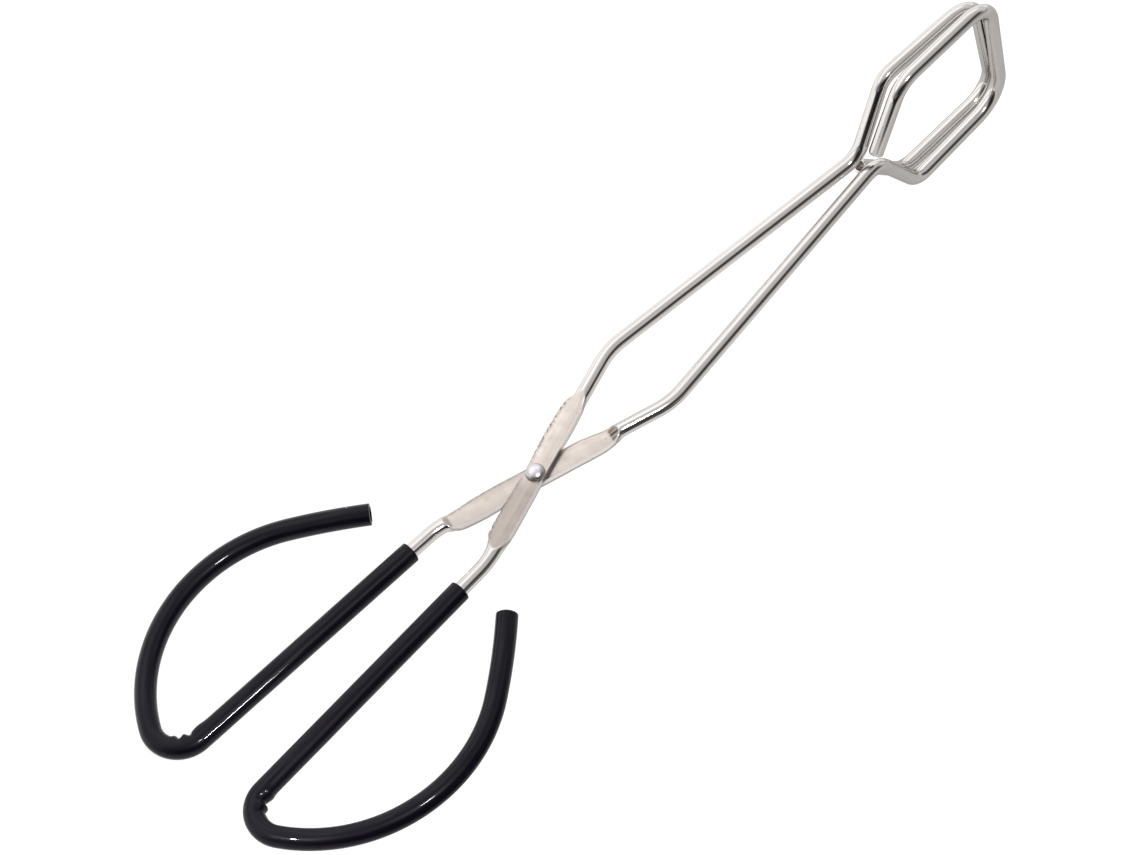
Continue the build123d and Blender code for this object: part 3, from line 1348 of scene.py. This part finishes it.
@dataclass
class PivotRivet(SweptPiece):
    """The rivet through both blades: a domed head on top and a smaller set head below, in mm.

    Foot is the rounding under a dome: how far in from its radius and how high each point is.
    """

    shank_radius: float = 2.0
    seat: float = 2.1
    head_radius: float = 3.6
    head_height: float = 2.4
    head_edge: float = 0.2
    foot: tuple = ((0.3, 0.0), (0.1, 0.04), (0.02, 0.12))
    tail_radius: float = 3.2
    tail_height: float = 1.2
    rings: int = 18

    SLOT = "rivet_metal"

    @property
    def name(self) -> str:
        """The node that the rivet stands for."""
        return "pivot_rivet"

    def outline(self) -> list[tuple[float, float]]:
        """The rivet's half section from its lowest point to its highest.

        Returns:
            Radius and height, point by point.
        """
        tail = self._crown(self.tail_radius, self.tail_height)
        head = self._crown(self.head_radius, self.head_height)
        below = [(radius, -self.seat - height) for radius, height in reversed(tail)]
        shank = [(self.shank_radius, -self.seat), (self.shank_radius, self.seat)]
        return below + shank + [(radius, self.seat + height) for radius, height in head]

    def _crown(self, radius: float, height: float) -> list[tuple[float, float]]:
        """A head's half section from its seat to its middle.

        Args:
            radius: the head's radius.
            height: the head's height over its seat.

        Returns:
            Radius and height over the seat, point by point.
        """
        low = [(radius - inset, rise) for inset, rise in self.foot] + [(radius, self.head_edge)]
        turns = [math.pi / 2 * (1 - k / self.rings) for k in range(1, self.rings + 1)]
        dome = height - self.head_edge
        return low + [(radius * math.sin(t), self.head_edge + dome * math.cos(t)) for t in turns]

    def stations(self) -> Stations:
        """The rivet's stations up its axis, each as far along as it is out from the middle.

        Returns:
            The stations on the bench.
        """
        radii, heights = np.array(self.outline()).T
        made = Stations.upright(heights, radii)
        made.length = radii.copy()
        return made


def dress(piece: bpy.types.Object, body: str, node: str) -> None:
    """Sets a piece on its body, in its node's place, and reports it.

    Args:
        piece: the piece.
        body: the body that it rides on.
        node: the node that it stands for.
    """
    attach(piece, body)
    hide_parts(node)
    log.info("%s: %d faces, rides on %s", piece.name, len(piece.data.polygons), body)


class SkinGrain:
    """The shared shader groups: fine lengthwise lines, and speckles of wear or dust."""

    LINE_NOISE = (1.0, 4.0, 0.65)
    SOFT_MARK = (0.0, 0.6)

    @staticmethod
    def _shared(name: str, inputs: dict[str, str], output: str,
                fill: Callable[[Graph, Sockets], Socket]) -> bpy.types.NodeTree:
        """A shared group, built when it is first asked for.

        Args:
            name: the group's name.
            inputs: its inputs' names and types.
            output: its output's name.
            fill: builds the nodes between them and gives what goes out.

        Returns:
            The group.
        """
        tree = bpy.data.node_groups.get(name)
        if tree is None:
            tree = bpy.data.node_groups.new(name, "ShaderNodeTree")
            for key, kind in inputs.items():
                tree.interface.new_socket(key, in_out="INPUT", socket_type=f"NodeSocket{kind}")
            tree.interface.new_socket(output, in_out="OUTPUT", socket_type="NodeSocketFloat")
            g = Graph(tree)
            result = fill(g, g.node("NodeGroupInput").outputs)
            g.node("NodeGroupOutput", {0: result})
        return tree

    @classmethod
    def _line_height(cls, g: Graph, given: Sockets) -> Socket:
        """Noise drawn out along the skin.

        Args:
            g: the group's nodes.
            given: the group's inputs.

        Returns:
            The noise.
        """
        parts = g.node("ShaderNodeSeparateXYZ", {0: given["Skin"]}).outputs
        stretch = ("Across", "Across", "Along")
        drawn = {k: g.times(parts[k], given[name]) for k, name in enumerate(stretch)}
        place = g.node("ShaderNodeCombineXYZ", drawn).outputs[0]
        return g.noise(place, *cls.LINE_NOISE)

    @classmethod
    def _speck_mask(cls, g: Graph, given: Sockets) -> Socket:
        """The soft middles of some of the cells of a pattern.

        Args:
            g: the group's nodes.
            given: the group's inputs.

        Returns:
            The middles, 1 inside and 0 outside.
        """
        scale = {"Vector": given["Place"], "Scale": given["Scale"]}
        cells = g.node("ShaderNodeTexVoronoi", scale).outputs
        chosen = g.node("ShaderNodeSeparateColor", {0: cells["Color"]}).outputs[0]
        kept = g.maths("LESS_THAN", chosen, given["Share"])
        near = g.minus(1.0, g.over(cells["Distance"], given["Size"]))
        return g.times(kept, g.ranged(near, *cls.SOFT_MARK, smooth=True))

    @classmethod
    def lines(cls, g: Graph, skin: Socket, across: float, along: float) -> Socket:
        """Lengthwise lines along a drawn tube.

        Args:
            g: the material's nodes.
            skin: the skin's own places in mm.
            across: how close together the lines are.
            along: how short they are.

        Returns:
            Their height.
        """
        inputs = {"Skin": "Vector", "Across": "Float", "Along": "Float"}
        tree = cls._shared("drawn_lines", inputs, "Height", cls._line_height)
        values = {"Skin": skin, "Across": across, "Along": along}
        return g.node("ShaderNodeGroup", values, node_tree=tree).outputs[0]

    @classmethod
    def specks(cls, g: Graph, place: Socket, scale: float, share: float, size: float) -> Socket:
        """Small scattered marks with soft edges.

        Args:
            g: the material's nodes.
            place: where they are read.
            scale: how close together they may be.
            share: how many of them there are, of 1.
            size: how large they are.

        Returns:
            1 in a mark and 0 outside.
        """
        inputs = {"Place": "Vector", "Scale": "Float", "Share": "Float", "Size": "Float"}
        tree = cls._shared("specks", inputs, "Mask", cls._speck_mask)
        values = {"Place": place, "Scale": scale, "Share": share, "Size": size}
        return g.node("ShaderNodeGroup", values, node_tree=tree).outputs[0]


def new_finish(name: str) -> tuple[bpy.types.Material, Graph, Sockets]:
    """A material with an empty tree, whose Principled shader is wired to the output.

    Args:
        name: the material's name.

    Returns:
        The material, its nodes and the shader's inputs.
    """
    made = bpy.data.materials.new(name)
    made.use_nodes = True
    made.node_tree.nodes.clear()
    g = Graph(made.node_tree)
    shader = g.node("ShaderNodeBsdfPrincipled")
    g.node("ShaderNodeOutputMaterial", {"Surface": shader.outputs[0]})
    return made, g, shader.inputs


@dataclass(frozen=True)
class PlatedTube:
    """Bright nickel plate on drawn tube, gone matte and warm where the press has flattened it.

    After the colours come the roughnesses and their spread, then the lines' closeness and
    shortness, the noises' scale and detail, and the marks' scale, share and size. Each mix is
    the range of a noise over which a colour comes in, with the least and the most of it.
    """

    plate: tuple = (0.78, 0.755, 0.735, 1)
    plate_dark: tuple = (0.66, 0.625, 0.60, 1)
    satin: tuple = (0.83, 0.755, 0.70, 1)
    satin_tarnished: tuple = (0.44, 0.385, 0.36, 1)
    satin_dark: tuple = (0.58, 0.515, 0.455, 1)
    satin_shade: tuple = (0.2, 0.175, 0.15, 1)
    oxide: tuple = (0.16, 0.125, 0.095, 1)
    # Painted shade: the colour of a blade's wall where it is shaded.
    burnt: tuple = (0.07, 0.053, 0.043, 1)
    rim: tuple = (0.68, 0.645, 0.63, 1)
    stain: tuple = (0.60, 0.54, 0.455, 1)
    # Soot in the groove, pits and marks and on the ramps; on the wall it is painted shade.
    soot: tuple = (0.05, 0.042, 0.035, 1)
    grazing: tuple = (0.70, 0.68, 0.66, 1)
    plate_rough: tuple = (0.10, 0.16)
    satin_rough: tuple = (0.37, 0.51)
    rim_rough: float = 0.65
    rough_mix: tuple = (0.3, 0.7)
    fine: tuple = (2.6, 0.05)
    broad: tuple = (0.7, 0.03)
    cloud: tuple = (260.0, 4.0)
    patch: tuple = (70.0, 3.0)
    fleck: tuple = (900.0, 2.0)
    pits: tuple = (700.0, 0.08, 0.24)
    marks: tuple = (190.0, 0.05, 0.1)
    plate_mix: tuple = (0.35, 0.75)
    streak_mix: tuple = (0.42, 0.66, 0.0, 0.42)
    cloud_mix: tuple = (0.42, 0.72, 0.0, 0.5)
    stain_mix: tuple = (0.54, 0.7, 0.0, 0.65)
    soot_lines: tuple = (0.42, 0.58)
    soot_cover: float = 0.95
    soot_gap: float = 0.5
    torn_mix: tuple = (0.42, 0.58, 0.2, 1.0)
    burnt_mix: tuple = (0.35, 0.65, 1.0, 0.75)
    groove_mix: tuple = (0.08, 0.35)
    pit_dirt: float = 0.3
    mark_dirt: float = 0.7
    line_height: float = 0.5
    face_height: float = 0.8
    pit_depth: float = 0.5
    relief: tuple = (0.16, 0.00006)

    READS = ("satin", "groove", "tarnish", "sooty", "frayed", "shade", "pressed")

    def material(self) -> bpy.types.Material:
        """Builds the finish.

        Returns:
            The material.
        """
        made, g, shader = new_finish("plated_tube")
        skin, place = g.attribute("skin", "Vector"), g.object_place()
        at = {name: g.attribute(name) for name in self.READS}
        at.update({name: SkinGrain.lines(g, skin, *getattr(self, name))
                   for name in ("fine", "broad")})
        at.update({name: g.noise(place, *getattr(self, name))
                   for name in ("cloud", "patch", "fleck")})
        at.update({name: SkinGrain.specks(g, place, *getattr(self, name))
                   for name in ("pits", "marks")})
        g.feed(shader["Base Color"], self._colour(g, at))
        shine = g.mixed(g.ranged(at["fine"], *self.rough_mix), *self.plate_rough)
        dull = g.mixed(g.ranged(at["cloud"], *self.rough_mix), *self.satin_rough)
        rims = g.mixed(at["pressed"], shine, self.rim_rough)
        g.feed(shader["Roughness"], g.mixed(at["satin"], rims, dull))
        shader["Metallic"].default_value = 1.0
        shader["Specular Tint"].default_value = self.grazing
        rough_face = g.times(at["cloud"], g.times(at["satin"], self.face_height))
        height = g.plus(g.times(at["fine"], self.line_height), rough_face)
        pitted = g.minus(height, g.times(at["pits"], self.pit_depth))
        g.feed(shader["Normal"], g.bumped(*self.relief, pitted))
        return made

    def _colour(self, g: Graph, at: dict[str, Socket]) -> Socket:
        """The colour: plate, rim or satin face, what is torn or dirty, dark ramps, painted shade.

        Args:
            g: the material's nodes.
            at: the attributes, noises and marks by name.

        Returns:
            The colour.
        """
        plated = g.blended(g.ranged(at["broad"], *self.plate_mix), self.plate, self.plate_dark)
        rim = g.blended(at["pressed"], plated, self.rim)
        # Painted shade on the wall beside the other blade darkens the rim.
        wall_shaded = g.times(at["sooty"], g.ranged(at["fine"], *self.burnt_mix))
        edge = g.blended(wall_shaded, rim, self.burnt)
        face = g.blended(at["tarnish"], self.satin, self.satin_tarnished)
        face = g.blended(at["shade"], face, self.satin_shade)
        face = g.blended(g.ranged(at["broad"], *self.streak_mix), face, self.satin_dark)
        face = g.blended(g.ranged(at["cloud"], *self.cloud_mix), face, self.satin_dark)
        face = g.blended(g.ranged(at["patch"], *self.stain_mix), face, self.stain)
        # The ramps darken, and the wall's painted shade reaches into the face.
        gaps = g.times(g.ranged(at["fine"], *self.soot_lines, smooth=True), self.soot_gap)
        covered = g.times(at["sooty"], g.minus(self.soot_cover, gaps))
        face = g.blended(covered, face, self.soot)
        whole = g.blended(at["satin"], edge, face)
        torn = g.times(at["frayed"], g.ranged(at["fleck"], *self.torn_mix, smooth=True))
        whole = g.blended(torn, whole, self.oxide)
        on_face = g.times(at["marks"], g.times(at["satin"], self.mark_dirt))
        dirt = g.larger(g.times(at["pits"], self.pit_dirt), on_face)
        sunk = g.larger(g.ranged(at["groove"], *self.groove_mix), dirt)
        return g.blended(sunk, whole, self.soot)


@dataclass(frozen=True)
class BlackSleeve:
    """Soft black vinyl with a slight sheen, fine grain, faint lengthwise rubs and a little dust.

    Rubs are lines with their closeness and shortness, grain and cloud noises with their scale
    and detail, and specks marks with their scale, share and size.
    """

    black: tuple = (0.0035, 0.0024, 0.0068, 1)
    worn: tuple = (0.0075, 0.0062, 0.0125, 1)
    dust: tuple = (0.42, 0.40, 0.38, 1)
    ior: float = 1.16
    coat_rough: float = 0.05
    coat_ior: float = 1.36
    rubs: tuple = (0.9, 0.06)
    grain: tuple = (1500.0, 2.0)
    cloud: tuple = (60.0, 3.0)
    specks: tuple = (110.0, 0.10, 0.07)
    worn_mix: tuple = (0.5, 0.8)
    rough_mix: tuple = (0.3, 0.7, 0.28, 0.44)
    coat_mix: tuple = (0.35, 0.7, 0.3, 0.6)
    grain_height: float = 0.5
    relief: tuple = (0.25, 0.0001)

    def material(self) -> bpy.types.Material:
        """Builds the finish.

        Returns:
            The material.
        """
        made, g, shader = new_finish("black_sleeve")
        place = g.object_place()
        rubs = SkinGrain.lines(g, g.attribute("skin", "Vector"), *self.rubs)
        grain, cloud = g.noise(place, *self.grain), g.noise(place, *self.cloud)
        specks = SkinGrain.specks(g, place, *self.specks)
        worn = g.blended(g.ranged(rubs, *self.worn_mix), self.black, self.worn)
        g.feed(shader["Base Color"], g.blended(specks, worn, self.dust))
        g.feed(shader["Roughness"], g.ranged(cloud, *self.rough_mix))
        shader["IOR"].default_value = self.ior
        shader["Coat Roughness"].default_value = self.coat_rough
        shader["Coat IOR"].default_value = self.coat_ior
        g.feed(shader["Coat Weight"], g.ranged(rubs, *self.coat_mix))
        height = g.plus(g.times(grain, self.grain_height), rubs)
        g.feed(shader["Normal"], g.bumped(*self.relief, height))
        return made


@dataclass(frozen=True)
class RivetMetal:
    """Satin aluminium with the faint dents of a set rivet head, and painted shade on its sides.

    The flank_mix and dirt_mix are by the distance from the rivet's middle in mm,
    and the others by a noise. The noises have a scale and a detail, and dents a scale, a share
    and a size.
    """

    bright: tuple = (0.80, 0.80, 0.83, 1)
    dull: tuple = (0.62, 0.62, 0.64, 1)
    # Painted shade towards the dome's sides.
    flank: tuple = (0.50, 0.49, 0.50, 1)
    # Painted shade in a ring round the head's rim.
    dirt: tuple = (0.16, 0.15, 0.15, 1)
    cloud: tuple = (700.0, 3.0)
    fine: tuple = (3000.0, 2.0)
    dents: tuple = (900.0, 0.25, 0.4)
    dull_mix: tuple = (0.45, 0.75)
    flank_mix: tuple = (1.5, 2.7, 0.0, 0.9)
    dirt_mix: tuple = (3.36, 3.58, 0.0, 0.85)
    rough_mix: tuple = (0.3, 0.7, 0.26, 0.38)
    cloud_height: float = 0.8
    dent_depth: float = 0.5
    relief: tuple = (0.15, 0.00008)

    def material(self) -> bpy.types.Material:
        """Builds the finish.

        Returns:
            The material.
        """
        made, g, shader = new_finish("rivet_metal")
        place = g.object_place()
        cloud, fine = g.noise(place, *self.cloud), g.noise(place, *self.fine)
        dents = SkinGrain.specks(g, place, *self.dents)
        skin = g.node("ShaderNodeSeparateXYZ", {0: g.attribute("skin", "Vector")})
        out = skin.outputs[2]
        crown = g.blended(g.ranged(cloud, *self.dull_mix), self.bright, self.dull)
        # Painted shade: the dome darkens towards its sides and in a ring round its rim.
        head = g.blended(g.ranged(out, *self.flank_mix, smooth=True), crown, self.flank)
        ring_shaded = g.blended(g.ranged(out, *self.dirt_mix, smooth=True), head, self.dirt)
        g.feed(shader["Base Color"], ring_shaded)
        g.feed(shader["Roughness"], g.ranged(fine, *self.rough_mix))
        shader["Metallic"].default_value = 1.0
        height = g.minus(g.times(cloud, self.cloud_height), g.times(dents, self.dent_depth))
        g.feed(shader["Normal"], g.bumped(*self.relief, height))
        return made


@dataclass
class Studio:
    """A white table, soft white light all round with one darker side, and the camera.

    The camera stands where the photograph was taken from. What the metal and the sleeves mirror
    is set so that their bright and dark lines lie as they do there. Places are in metres.
    Strips give the light above by the angle in degrees from straight up towards the near side.
    Near span is where the table's glow goes from dim to bright, the corner is dark, and beside
    the jaws the glow is less. Each gleam has its place, its aim, its power and its reach.
    """

    right: tuple = (0.70767, -0.70194, -0.08058)
    up: tuple = (0.61857, 0.5604, 0.55074)
    back: tuple = (-0.34143, -0.43958, 0.83078)
    stand: tuple = (0.01196, 0.01687, 2.5)
    lens: float = 224.21
    sensor: float = 36.0
    farthest: float = 50.0
    table_half: float = 4.0
    table_dark: tuple = (0.0, 0.0, 0.0, 1)
    table_grey: tuple = (0.25, 0.25, 0.25, 1)
    table_rough: float = 0.9
    table_gloss: float = 0.1
    white: tuple = (1, 1, 1, 1)
    paper_white: float = 0.88
    near_span: tuple = (-0.20, 0.10, 0.1, 0.95)
    corner_aside: tuple = (-0.07, -0.1)
    corner_along: tuple = (0.085, 0.045)
    jaw_along: tuple = (0.08, 0.14)
    jaw_beside: tuple = (0.09, 0.05)
    jaw_shadow: float = 0.6
    strips: tuple = ((-90, 1.4), (-76, 1.3), (-66, 0.9), (-58, 0.9), (-46, 1.35), (-32, 1.4),
                     (-20, 1.25), (-7, 0.8), (4, 0.6), (32, 0.6), (41, 0.48), (50, 0.16),
                     (57, 0.05), (74, 0.04), (81, 0.14), (92, 0.3))
    strip_scale: float = 2.0
    end_span: tuple = (0.80, 0.97)
    end_light: float = 0.75
    corner_way: tuple = (-0.8, -0.6)
    corner_span: tuple = (0.6, 0.85, 1.0, 0.3)
    lamp_place: tuple = (-0.16, -0.82, 1.27)
    lamp_aim: tuple = (-0.16, 0, 0.01)
    lamp_size: float = 0.15
    lamp_power: float = 9.0
    gleams: tuple = (((-1.09, -0.19, 1.20), (-0.190, -0.040, 0.01), 75.0, 0.036),
                     ((-0.01, -1.14, 0.96), (-0.177, 0.013, 0.009), 80.0, 0.017))
    gleam_size: float = 0.03

    def camera(self, bench: Bench) -> None:
        """Sets the camera where the photograph was taken from.

        Args:
            bench: where the bench lies.
        """
        made = bpy.data.cameras.new("camera")
        made.lens, made.sensor_width, made.sensor_fit = self.lens, self.sensor, "HORIZONTAL"
        made.clip_end = self.farthest
        holder = bpy.data.objects.new("camera", made)
        axes = [Vector(a) for a in (self.right, self.up, self.back)]
        far = sum((axis * length for axis, length in zip(axes, self.stand)), Vector())
        turned = Matrix(axes).transposed().to_4x4()
        holder.matrix_world = Matrix.Translation(bench.origin + far) @ turned
        bpy.context.scene.collection.objects.link(holder)
        bpy.context.scene.camera = holder

    def table(self) -> None:
        """Lays the plain pale table, which is no part of the object.

        Seen straight on it is white paper, and what the object mirrors of it has a dark corner.
        """
        mesh = bpy.data.meshes.new("table")
        h = self.table_half
        mesh.from_pydata([(-h, -h, 0), (h, -h, 0), (h, h, 0), (-h, h, 0)], [], [(0, 1, 2, 3)])
        made, g, shader = new_finish("table_white")
        seen = g.node("ShaderNodeLightPath").outputs["Is Camera Ray"]
        along, aside = g.node("ShaderNodeSeparateXYZ", {0: g.object_place()}).outputs[:2]
        near = g.ranged(aside, *self.near_span)
        corner = g.times(g.ranged(aside, *self.corner_aside, smooth=True),
                         g.ranged(along, *self.corner_along, smooth=True))
        shadow = g.times(g.ranged(along, *self.jaw_along, smooth=True),
                         g.ranged(g.size(aside), *self.jaw_beside, smooth=True))
        shaded = g.ranged(shadow, 0.0, 1.0, 1.0, self.jaw_shadow)
        glow = g.times(g.mixed(corner, near, 0.0), shaded)
        lit = g.larger(seen, g.minus(1.0, corner))
        g.feed(shader["Base Color"], g.blended(lit, self.table_dark, self.table_grey))
        shader["Roughness"].default_value = self.table_rough
        shader["Specular IOR Level"].default_value = self.table_gloss
        shader["Emission Color"].default_value = self.white
        g.feed(shader["Emission Strength"], g.mixed(seen, glow, self.paper_white))
        mesh.materials.append(made)
        piece = bpy.data.objects.new("table", mesh)
        bpy.context.scene.collection.objects.link(piece)

    def sky(self) -> None:
        """Hangs the strips of soft light, plain at both ends and darker in one corner."""
        world = bpy.data.worlds.new("studio")
        world.use_nodes = True
        world.node_tree.nodes.clear()
        g = Graph(world.node_tree)
        way = g.node("ShaderNodeTexCoord").outputs["Generated"]
        parts = g.node("ShaderNodeSeparateXYZ", {0: way}).outputs
        angle = g.maths("ARCTAN2", g.times(parts[1], -1.0), parts[2])
        ramp = g.node("ShaderNodeValToRGB", {0: g.ranged(angle, -math.pi, math.pi)})
        spots = ramp.color_ramp.elements
        while len(spots) > 1:
            spots.remove(spots[-1])
        for k, (degrees, strength) in enumerate(self.strips):
            turn = (degrees + 180) / 360
            spot = spots[0] if k == 0 else spots.new(turn)
            spot.position = turn
            spot.color = (*[strength / self.strip_scale] * 3, 1)
        strip = g.node("ShaderNodeSeparateColor", {0: ramp.outputs[0]}).outputs[0]
        end_on = g.ranged(g.size(parts[0]), *self.end_span, smooth=True)
        lit = g.mixed(end_on, g.times(strip, self.strip_scale), self.end_light)
        towards = g.plus(*(g.times(parts[k], self.corner_way[k]) for k in range(2)))
        strength = g.times(lit, g.ranged(towards, *self.corner_span, smooth=True))
        shade = g.node("ShaderNodeBackground", {"Color": self.white, "Strength": strength})
        g.node("ShaderNodeOutputWorld", {"Surface": shade.outputs[0]})
        bpy.context.scene.world = world

    def light(self) -> None:
        """Hangs one small lamp over the handles, and two narrow beams on the heels."""
        lamp = bpy.data.lights.new("lamp", "AREA")
        lamp.shape, lamp.size, lamp.energy = "DISK", self.lamp_size, self.lamp_power
        self._aimed(lamp, Vector(self.lamp_place), Vector(self.lamp_aim))
        for place, aim, power, reach in self.gleams:
            spot = bpy.data.lights.new("gleam", "SPOT")
            far = (Vector(place) - Vector(aim)).length
            spot.shadow_soft_size, spot.energy, spot.spot_blend = self.gleam_size, power, 1.0
            spot.spot_size = 2 * math.atan(reach / far)
            self._aimed(spot, Vector(place), Vector(aim))

    @staticmethod
    def _aimed(lamp: bpy.types.Light, place: Vector, aim: Vector) -> None:
        """Hangs a lamp in its place, turned to what it lights.

        Args:
            lamp: the lamp.
            place: where it hangs.
            aim: what it lights.
        """
        holder = bpy.data.objects.new(lamp.name, lamp)
        turned = (place - aim).to_track_quat("Z", "Y").to_matrix().to_4x4()
        holder.matrix_world = Matrix.Translation(place) @ turned
        bpy.context.scene.collection.objects.link(holder)

    def set_up(self, bench: Bench) -> None:
        """Builds the whole studio.

        Args:
            bench: where the bench lies.
        """
        self.camera(bench)
        self.table()
        self.sky()
        self.light()
        bpy.context.scene.view_settings.view_transform = "Standard"


def arms_and_sleeves() -> tuple[list[TubeArm], list[GripSleeve]]:
    """Lists the arms and the sleeves, with what differs between the halves.

    Returns:
        The two arms and the two sleeves.
    """
    upper_hook, lower_hook = 32.0, 28.4
    arms = [
        TubeArm(Half.UPPER, upper_hook, foot_reach=167.9, pressing=Pressing.upper(),
                seam_from=252, seam_until=304),
        TubeArm(Half.LOWER, lower_hook, foot_reach=171.7, pressing=Pressing.lower()),
    ]
    upper_folds = ((100.5, 1.6, 0.45), (104.6, 1.1, -0.55), (107.6, 1.3, 0.75),
                   (110.8, 0.9, -0.5))
    lower_folds = ((98.5, 2.6, 0.4), (103.0, 1.1, -0.55), (105.8, 1.3, 0.8),
                   (108.6, 0.9, -0.5), (111.0, 1.4, 0.5))
    sleeves = [
        GripSleeve(Half.UPPER, upper_hook, upper_folds),
        GripSleeve(Half.LOWER, lower_hook, lower_folds),
    ]
    return arms, sleeves


def main() -> None:
    """Builds every piece in order, then the studio."""
    logging.basicConfig(level=logging.INFO, format="%(name)s: %(message)s")
    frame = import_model()
    bench = Bench.from_joint(frame["joints"][0])
    tube, vinyl, metal = (finish().material() for finish in (PlatedTube, BlackSleeve, RivetMetal))
    skin = Sweep(bench)
    arms, sleeves = arms_and_sleeves()
    for arm in arms:
        arm.build(skin, tube)
    for sleeve in sleeves:
        sleeve.build(skin, vinyl)
    PivotRivet(Half.LOWER).build(skin, metal)
    Studio().set_up(bench)
    log.info("boxes written")


if __name__ == "__main__":
    main()
